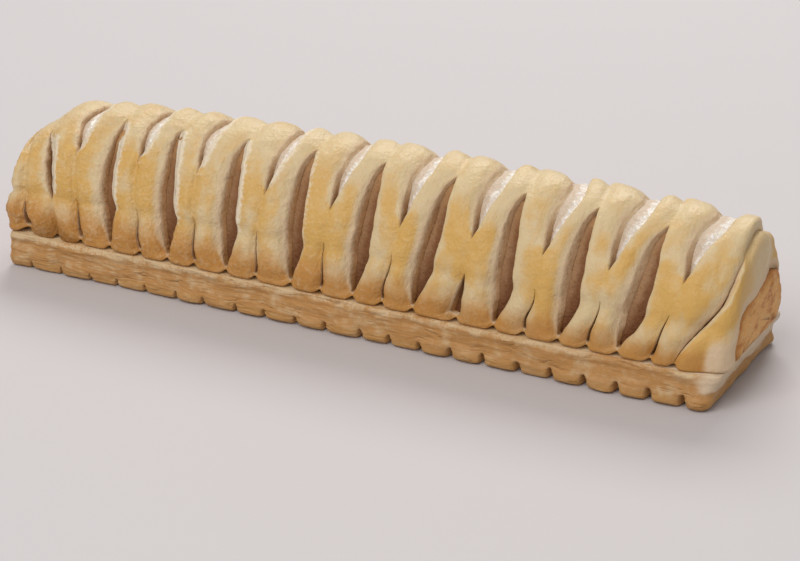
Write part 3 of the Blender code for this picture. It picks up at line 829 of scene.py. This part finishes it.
# ---- the meat ----
def build_meat_mesh():
    settings, sheet = bpy.context.scene.roll_meat, bpy.context.scene.roll_sheet
    segments, face_rings, body_rings = 110, 22, 270
    rings = 2 * face_rings + body_rings
    start()
    bpy.ops.mesh.primitive_uv_sphere_add(segments=segments, ring_count=rings, radius=1)
    piece = bpy.context.object
    co = read(piece, "co", 3)
    ring = np.rint(np.arccos(np.clip(co[:, 2], -1, 1)) / math.pi * rings)      # 0 at the right end's middle
    turn = np.arctan2(co[:, 1], co[:, 0])
    turn = np.where((ring == 0) | (ring == rings), 0.0, turn)
    share_out = np.minimum(1.0, np.minimum(ring, rings - ring) / face_rings)
    body = np.clip((ring - face_rings) / body_rings, 0, 1)
    left, right = TURNS[-1][0] - 0.0002, CAD_BOX[1].x - 0.0012
    x = right + (left - right) * body
    depth = np.minimum(x - left, right - x)

    part = smooth(0.0033, 0.0062, right - x) * smooth(0.0026, 0.0080, x - left)
    arch = np.sin(turn)
    way = np.where(arch > 0, 1 - turn / math.pi, np.where(np.cos(turn) > 0, 0.0, 1.0))
    way = 1 - way
    mouth_y, mouth_z = mouth_point(way)
    full_y, full_z, out_y, out_z = section(np.clip(x, TURNS[-1][0], TURNS[1][0]), way)
    inside = thickness(way) + settings.clearance
    full_y, full_z = full_y - out_y * inside, np.maximum(full_z - out_z * inside, FOOT)
    y = mouth_y * 0.985 * (1 - part) + full_y * part
    z = FOOT + 0.0001 + (mouth_z - FOOT) * 0.985 * (1 - part) + (full_z - FOOT) * part
    under = arch < 0
    floor_half = sheet.width / 2 - sheet.thickness - settings.clearance
    y = np.where(under, -np.cos(turn) * (settings.mouth_width / 2 * 0.985 * (1 - part) + floor_half * part), y)
    under_lift = 0.0005 * (1 - part) * smooth(0.0, 0.35, -arch)
    z = np.where(under, FOOT + 0.0001, z) + np.where(under, under_lift, 0)
    middle_z = FOOT + 0.45 * settings.mouth_height
    y = y * share_out
    z = middle_z + (z - middle_z) * share_out
    dome = 0.0013 * (1 - share_out ** 2)
    x = np.where(ring < face_rings, x + dome, x)
    x = np.where(ring > rings - face_rings, x - dome * 0.5, x)
    point = np.stack([x, y, z], 1)

    out = np.stack([0 * x, -np.cos(math.pi * way), np.maximum(arch, 0)], 1)
    out /= np.maximum(np.linalg.norm(out, axis=1), 1e-9)[:, None]
    end = np.where(ring < face_rings, 1.0, np.where(ring > rings - face_rings, -1.0, 0.0))
    out = np.where(end[:, None] != 0, np.stack([end, 0 * x, 0 * x], 1), out)
    bare, opening, fill, from_bank = np.zeros_like(x), np.zeros_like(x), np.zeros_like(x), np.ones_like(x)
    for line in range(1, sheet.lines):
        opened_left, opened_right = banks(line, way)
        place = line_x(line, way)
        place = place + sway(place, way)
        width = np.maximum(opened_left + opened_right, 0.0016)
        if line % 2 == 0:
            tip = slit_keys(line_place(line), line)[3]
            bare += smooth(0.0064, 0.0046, np.abs(x - place)) * smooth(tip - 0.01, tip + 0.05, np.minimum(way, 1 - way))
        share = (x - place + opened_left) / width
        from_bank = np.where(np.abs(x - place) < 0.0045, np.clip(share, 0, 1), from_bank)
        is_open = smooth(0.0008, 0.0016, opened_left + opened_right) * ~under
        fill = np.maximum(fill, is_open * smooth(0.0, 0.3, share) * smooth(1.3, 1.0, share))
        opening = np.maximum(opening, is_open * smooth(0.34, 0.62, share) * smooth(1.0, 0.80, share))
    bumps = 0.0003 + 0.0005 * rough(point, 0.0050, 11) + settings.crumb * rough(point, 0.0016, 12)
    bumps = np.where(end != 0, bumps, bumps * opening + 0.00045 * fill)
    point = point + out * bumps[:, None]
    point[:, 2] = np.maximum(point[:, 2], FOOT + 0.00005)
    point[:, 0] = np.clip(point[:, 0], CAD_BOX[0].x, CAD_BOX[1].x)
    write(piece, "co", point)
    # across each slit from its left bank, which places the painted light and shade by the wall
    write(piece, "from_bank", from_bank)
    write(piece, "leftward", 1 - along(x))
    # how far the meat faces up, which sets its painted shade low down and its painted light on top
    write(piece, "meat_top", np.clip(arch, 0, 1) * (end == 0))
    # where the crown slits let painted light fall on the pale meat
    write(piece, "under_crown_slit", np.clip(bare, 0, 1) * (end == 0) * ~under)
    write(piece, "meat_rim", share_out ** 3)
    write(piece, "toast", np.where(end != 0, 1.0, 1 - smooth(0.0, 0.0035, depth)))
    return piece


# ---- the base ----
def base_outline():
    """Outline of the base from above, anticlockwise from the front left: x, y, outward way, notch, lump, distance."""
    settings = bpy.context.scene.roll_base
    half = settings.width / 2
    left, right = LEFT + 0.0005, RIGHT - 0.0042
    first = LEFT + 0.0068
    places = first + settings.notch_pitch * np.arange(settings.notches)
    uneven = np.array([stray(number, 40, 0.0007) for number in range(settings.notches)])
    notches = places + uneven
    offsets = np.array([-1.6, -1.1, -0.75, -0.45, -0.2, 0, 0.2, 0.45, 0.75, 1.1, 1.6]) * MM
    start_x, stop_x = left + 0.0012, right - 0.0028
    xs = [start_x]
    for number, notch in enumerate(notches):
        xs += list(notch + offsets)
        after = notches[number + 1] + offsets[0] if number + 1 < len(notches) else stop_x
        room = after - (notch + offsets[-1])
        steps = max(2, int(room / (0.75 * MM)))
        xs += list(notch + offsets[-1] + room * np.arange(1, steps) / steps)
    xs = np.array([x for x in xs if start_x <= x < stop_x] + [stop_x])

    def side(xs, y, way):
        return [(x, y, 0.0, -way) for x in (xs if way > 0 else xs[::-1])]

    def corner(cx, cy, radius, quarter, steps):
        made = []
        for step in range(1, steps):
            angle = math.pi / 2 * (quarter + step / steps)
            made.append((cx + radius * math.cos(angle), cy + radius * math.sin(angle),
                         math.cos(angle), math.sin(angle)))
        return made

    def end(x, y0, y1, out, steps):
        return [(x, y0 + (y1 - y0) * step / steps, out, 0.0) for step in range(steps + 1)]

    points = side(xs, -half, 1) + corner(stop_x, -half + 0.0028, 0.0028, -1, 8)
    points += end(right, -half + 0.0028, half - 0.0028, 1.0, 52)
    points += corner(stop_x, half - 0.0028, 0.0028, 0, 8) + side(xs, half, -1)
    points += corner(start_x, half - 0.0012, 0.0012, 1, 4)
    points += end(left, half - 0.0012, -half + 0.0012, -1.0, 52)
    points += corner(start_x, -half + 0.0012, 0.0012, 2, 4)
    points = np.array(points)

    from_notch = np.min(np.abs(points[:, 0][:, None] - notches[None, :]), axis=1)
    on_side = np.abs(points[:, 3])
    step = np.hypot(*(np.roll(points[:, :2], -1, axis=0) - points[:, :2]).T)
    travelled = np.concatenate([[0], np.cumsum(step)[:-1]])
    lumps = np.searchsorted(notches, points[:, 0]) + np.where(points[:, 1] > 0, 40, 0)
    return points, from_notch, on_side, travelled, lumps


def build_base_mesh():
    settings = bpy.context.scene.roll_base
    outline, from_notch, on_side, travelled, lumps = base_outline()
    count, rows = len(outline), 62
    start()
    bpy.ops.mesh.primitive_cylinder_add(vertices=count, radius=1, depth=2, end_fill_type="NGON")
    piece = bpy.context.object
    co = read(piece, "co", 3)
    ends = edge_ends(piece)
    select_edges(piece, co[ends[:, 0], 2] * co[ends[:, 1], 2] < 0)
    bpy.ops.mesh.subdivide(number_cuts=rows - 1)
    bpy.ops.object.mode_set(mode="OBJECT")
    co = read(piece, "co", 3)
    row = np.rint((co[:, 2] + 1) / 2 * rows)
    number = np.rint(np.arctan2(co[:, 1], co[:, 0]) / (2 * math.pi) * count).astype(int) % count

    top = BASE_BOX[1].z
    up = row / rows
    z = top * up
    spot = outline[number]
    distance = travelled[number]
    side_share = on_side[number]
    x, y, out_x, out_y = spot.T

    # pages of pastry: wavy layers that stand out unevenly, with a few short cracks between them
    flow = np.stack([distance, 0 * z, 0 * z], 1)
    wave = 0.0013 * rough(flow, 0.017, 21, 1) + 0.00055 * rough(flow, 0.0055, 22, 1)
    page_z = z + wave * np.sin(math.pi * up)
    middle = smooth(0.0, 0.08, up) * smooth(1.0, 0.92, up)

    def layers(long, tall, seed, octaves=2):
        return rough(np.stack([distance / long, page_z / tall, 0 * z], 1), 1, seed, octaves)

    folds = layers(0.0120, 0.0021, 36, 1)
    pages = layers(0.0055, 0.00085, 31)
    leaves = layers(0.0030, 0.00042, 32, 1)
    crack = near(layers(0.0060, 0.00120, 33, 1), 0.05) * smooth(0.10, 0.40, layers(0.0045, 0.0020, 34, 1))
    flaky = between((1.0, 0.25), x)
    puffs = rough(np.stack([distance / 0.0050, z / 0.0030, 0 * z], 1), 1, 40, 1)
    relief = (0.00026 * folds + 0.00040 * puffs + (0.00022 * pages + 0.00012 * leaves) * flaky - 0.00032 * crack) * middle
    crumbs = smooth(0.80, 0.94, up) * side_share * (0.00030 * rough(np.stack([x, y, z], 1), 0.0011, 37, 1)
                                                    + 0.00060 * rough(np.stack([x, y, z], 1), 0.0036, 38, 1))

    # the lumps between the notches, each of its own size, and the rounded bottom and top edges
    low = smooth(0.42, 0.20, up)
    lump_number = lumps[number]
    from_cut = from_notch[number]
    lump_shape = smooth(-0.0006, 0.0032, from_cut) * side_share
    own_size = 0.45 + 0.9 * np.sin(lump_number * 2.4) ** 2
    belly = np.where(up < 0.20, np.sqrt(np.clip(1 - ((up - 0.20) / 0.21) ** 2, 0, 1)), smooth(0.56, 0.20, up))
    lump = (between(settings.lump, x) * own_size + 0.0002) * belly * lump_shape
    wide = between((0.00018, 0.00075), x) * (0.7 + 0.6 * np.sin(lump_number * 1.7) ** 2)
    high = between((0.17, 0.28), x) + 0.10 * np.sin(lump_number * 3.1) ** 2
    arch = high * np.sqrt(np.clip(1 - (from_cut / (wide * 1.6)) ** 2, 0, 1))
    cut = smooth(wide + 0.00045, wide * 0.5, from_cut) * smooth(arch + 0.08, arch - 0.04, up) * side_share
    ends_cut = settings.notch_depth * cut
    heel = 0.0012 * rounding(z / 0.0014, 1.0)
    end_side = smooth(0.0880, 0.0945, x)
    brow = 0.0004 * rounding((top - z) / 0.0010, 1.0) * (1 - 0.75 * end_side)
    swell = 0.0004 * np.sin(math.pi * up) ** 0.7
    ledge = between((0.0006, 0.0003), x) * smooth(0.70, 0.90, up) * side_share * (1 - end_side)
    off = swell + relief + crumbs + lump + ledge - ends_cut - heel - brow
    over = (0.0010 * up + 0.0018 * smooth(0.55, 1.0, up)) * smooth(0, 1, out_x)
    broad = 0.0004 * rough(np.stack([x, y, z], 1), 0.012, 25, 1) * middle
    x = x + out_x * (off + broad) + over
    y = y + out_y * (off + broad)
    tuck = 0.0004 * smooth(0.0016, 0.0, from_cut) * between((0.4, 1.0), x) * side_share
    z = z + tuck * np.clip(1 - up / 0.4, 0, 1)
    lo, hi = BASE_BOX
    point = np.stack([np.clip(x, lo.x, hi.x), np.clip(y, lo.y, hi.y), z], 1)
    write(piece, "co", point)
    write(piece, "layer_height", up)
    # where the base is painted darker as shade: the cracks between layers and the notches
    write(piece, "layer_groove", np.maximum(crack * middle, cut))
    write(piece, "lump", low)
    write(piece, "page_height", page_z * 1000)
    write(piece, "page_distance", distance * 1000)
    write(piece, "leftward", 1 - along(x))
    pale_end = smooth(0.0895, 0.0960, x) * (1 - 0.25 * side_share) * smooth(0.40, 0.60, up + 0.06 * rough(np.stack([x, y, z], 1), 0.004, 39, 1)) + smooth(0.90, 1.0, np.abs(out_x)) * (x < 0) * 0.2
    write(piece, "pale_end", np.clip(pale_end, 0, 1))
    return piece


# ---- the operators, one for each piece and one for the stage ----
class ROLL_OT_base(bpy.types.Operator):
    """Bake the layered pastry base"""
    bl_idname = "roll.add_base"
    bl_label = "Layered base"

    def execute(self, context):
        piece = build_base_mesh()
        finish_piece(piece, "layered_base", "pastry_base", base_material(context.scene.roll_base))
        return {"FINISHED"}


class ROLL_OT_meat(bpy.types.Operator):
    """Lay the sausage meat along the base"""
    bl_idname = "roll.add_meat"
    bl_label = "Sausage meat"

    def execute(self, context):
        piece = build_meat_mesh()
        finish_piece(piece, "meat_filling", "sausage_meat",
                     meat_material(context.scene.roll_meat))
        return {"FINISHED"}


class ROLL_OT_sheet(bpy.types.Operator):
    """Slit a pastry sheet, drape it over the meat and bake it"""
    bl_idname = "roll.add_sheet"
    bl_label = "Slit pastry sheet"

    def execute(self, context):
        columns = sheet_columns()
        piece = slit_sheet(columns)
        shape_sheet(piece, columns)
        finish_piece(piece, "slit_sheet", "pastry_lattice", sheet_material(context.scene.roll_sheet))
        return {"FINISHED"}


class ROLL_OT_stage(bpy.types.Operator):
    """Set up the floor, the soft lights and the camera"""
    bl_idname = "roll.add_stage"
    bl_label = "Floor, lights and camera"

    def execute(self, context):
        settings = context.scene.roll_stage
        start()
        bpy.ops.mesh.primitive_plane_add(size=8, location=(0, 0, -0.0001))
        floor = context.object
        floor.name = "floor"
        shader = Shader("pale_floor")
        cloud = shader.grain(0.05, 3.0)
        tone = shader.mix(cloud * 0.15, settings.floor, tuple(0.92 * part for part in settings.floor))
        floor.data.materials.append(shader.finish(tone, 0.75))

        def lamp(name, place, aim, size, power, tint):
            bpy.ops.object.light_add(type="AREA", location=place)
            made = context.object
            made.name = name
            made.data.shape = "RECTANGLE"
            made.data.size, made.data.size_y = size
            made.data.energy = power
            made.data.color = tint
            made.rotation_euler = (Vector(aim) - Vector(place)).to_track_quat("-Z", "Y").to_euler()

        lamp("key", (-0.20, 0.80, 0.85), (0, 0, 0.02), (0.7, 0.5), settings.key, (1.0, 0.985, 0.96))
        lamp("fill", (-0.12, -0.80, 0.98), (0, 0, 0.02), (0.9, 0.9), settings.fill, (1.0, 0.98, 0.96))
        world = bpy.data.worlds.new("studio")
        world.use_nodes = True
        world.node_tree.nodes["Background"].inputs["Color"].default_value = (1.0, 0.985, 0.97, 1)
        world.node_tree.nodes["Background"].inputs["Strength"].default_value = settings.sky
        context.scene.world = world
        context.scene.view_settings.view_transform = "Standard"

        azimuth, elevation, distance = math.radians(26.42), math.radians(24.38), 0.8033
        away = Vector((math.sin(azimuth) * math.cos(elevation), -math.cos(azimuth) * math.cos(elevation),
                       math.sin(elevation)))
        bpy.ops.object.camera_add(location=Vector((0.00343, 0, 0.00720)) + away * distance)
        camera = context.object
        camera.rotation_euler = away.to_track_quat("Z", "Y").to_euler()
        camera.data.lens, camera.data.sensor_width = 142.2, 36.0
        camera.data.clip_start = 0.01
        context.scene.camera = camera
        return {"FINISHED"}


class ROLL_PT_panel(bpy.types.Panel):
    """Buttons for the pieces of the roll"""
    bl_idname = "ROLL_PT_panel"
    bl_label = "Sausage roll"
    bl_space_type = "VIEW_3D"
    bl_region_type = "UI"
    bl_category = "Sausage roll"

    def draw(self, context):
        for group, operator in ((context.scene.roll_base, ROLL_OT_base), (context.scene.roll_meat, ROLL_OT_meat),
                                (context.scene.roll_sheet, ROLL_OT_sheet), (context.scene.roll_stage, ROLL_OT_stage)):
            box = self.layout.box()
            for name in group.__annotations__:
                box.prop(group, name)
            box.operator(operator.bl_idname)


SETTINGS = {"roll_base": BaseSettings, "roll_meat": MeatSettings, "roll_sheet": SheetSettings,
            "roll_stage": StageSettings}
CLASSES = (*SETTINGS.values(), ROLL_OT_base, ROLL_OT_meat, ROLL_OT_sheet, ROLL_OT_stage, ROLL_PT_panel)


def register():
    for made in CLASSES:
        bpy.utils.register_class(made)
    for name, group in SETTINGS.items():
        setattr(bpy.types.Scene, name, bpy.props.PointerProperty(type=group))


def unregister():
    for name in SETTINGS:
        delattr(bpy.types.Scene, name)
    for made in reversed(CLASSES):
        bpy.utils.unregister_class(made)


def main():
    register()
    bpy.ops.roll.add_base()
    bpy.ops.roll.add_meat()
    bpy.ops.roll.add_sheet()
    bpy.ops.roll.add_stage()


if __name__ == "__main__":
    main()
